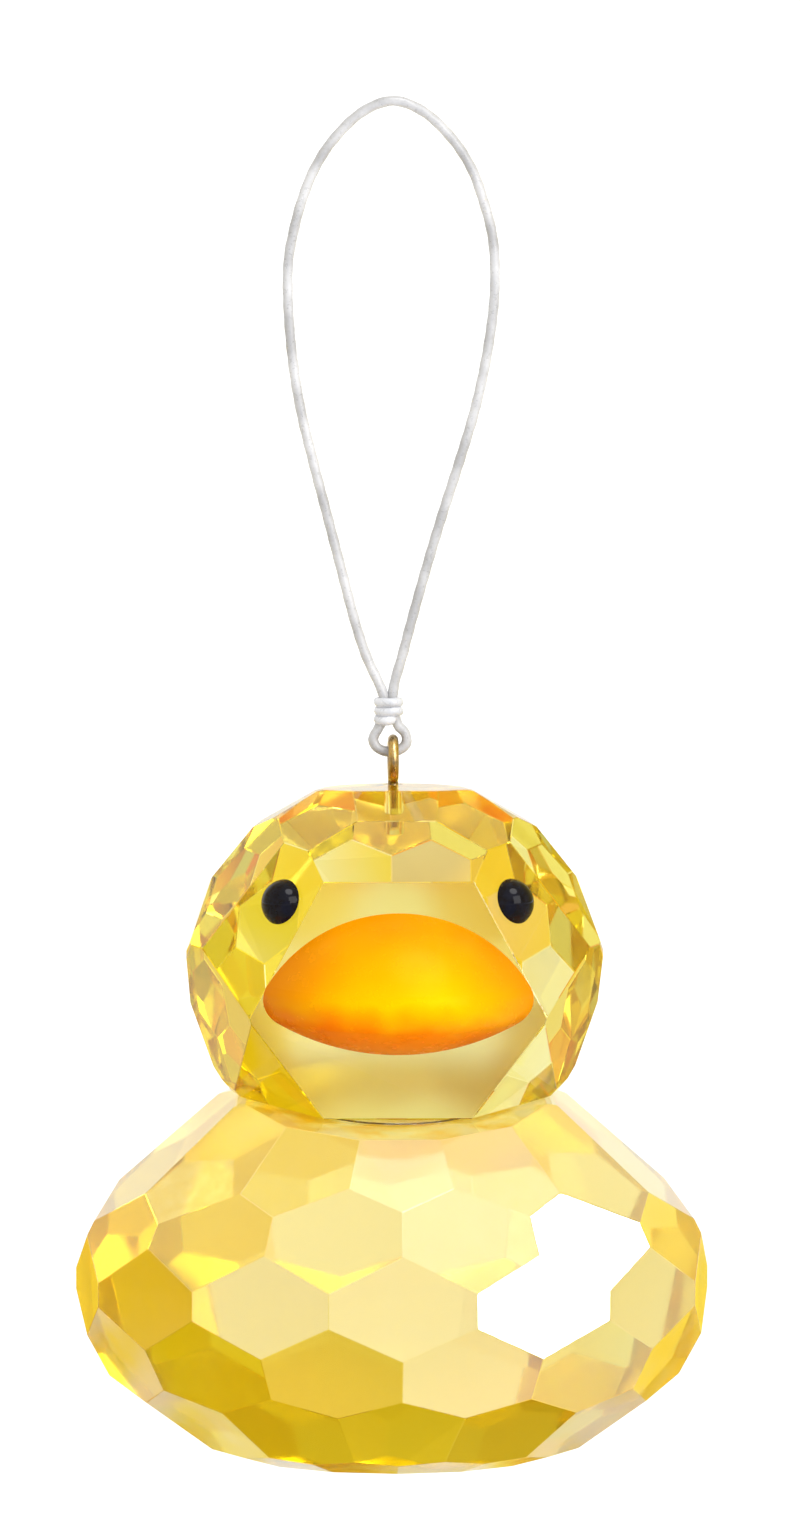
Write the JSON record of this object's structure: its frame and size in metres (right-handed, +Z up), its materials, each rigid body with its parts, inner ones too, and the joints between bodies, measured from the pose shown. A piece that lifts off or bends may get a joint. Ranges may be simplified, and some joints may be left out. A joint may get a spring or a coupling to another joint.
{
  "type": "hanging duck ornament",
  "caption": "Faceted glass duck with an orange beak and black eyes, hung by a metal eyelet from a thin cord loop.",
  "frame": {"origin": "inside top of the cord loop, where it hangs on a hook or nail", "axes": "+Z up; the duck hangs below the origin on the Z axis, faces -Y and is as wide as it is along X"},
  "size_m": [0.0304, 0.0333, 0.0652],
  "materials": {
    "cord": "translucent light grey nylon",
    "knot": "the same nylon, drawn tight",
    "eyelet": "polished, slightly darkened",
    "crystal": "pale yellow cut crystal, polished",
    "beak": "deep orange, polished",
    "eye": "opaque black, polished",
    "bond": "clear cured adhesive"
  },
  "bodies": {
    "loop": {"cord_loop": "cord"},
    "knot": {"cord_knot": "knot", "cord_bight": "cord"},
    "duck": {"eyelet": "eyelet", "eyelet_bond": "bond", "head_crystal": "crystal", "neck_bond": "bond", "body_crystal": "crystal", "beak": "beak", "beak_bond": "bond", "eye_left": "eye", "eye_right": "eye", "eye_bonds": "bond"}
  },
  "joints": [
    {"name": "cord_twist", "type": "hinge", "parent": "loop", "child": "knot", "pos_m": [-0.00025, 0, -0.028], "axis": [0, 0, 1], "range_deg": [-180, 180], "stiffness_Nm_per_rad": 0.00001},
    {"name": "rock", "type": "hinge", "parent": "knot", "child": "duck", "pos_m": [0, 0, -0.0308], "axis": [1, 0, 0], "range_deg": [-60, 60]}
  ]
}
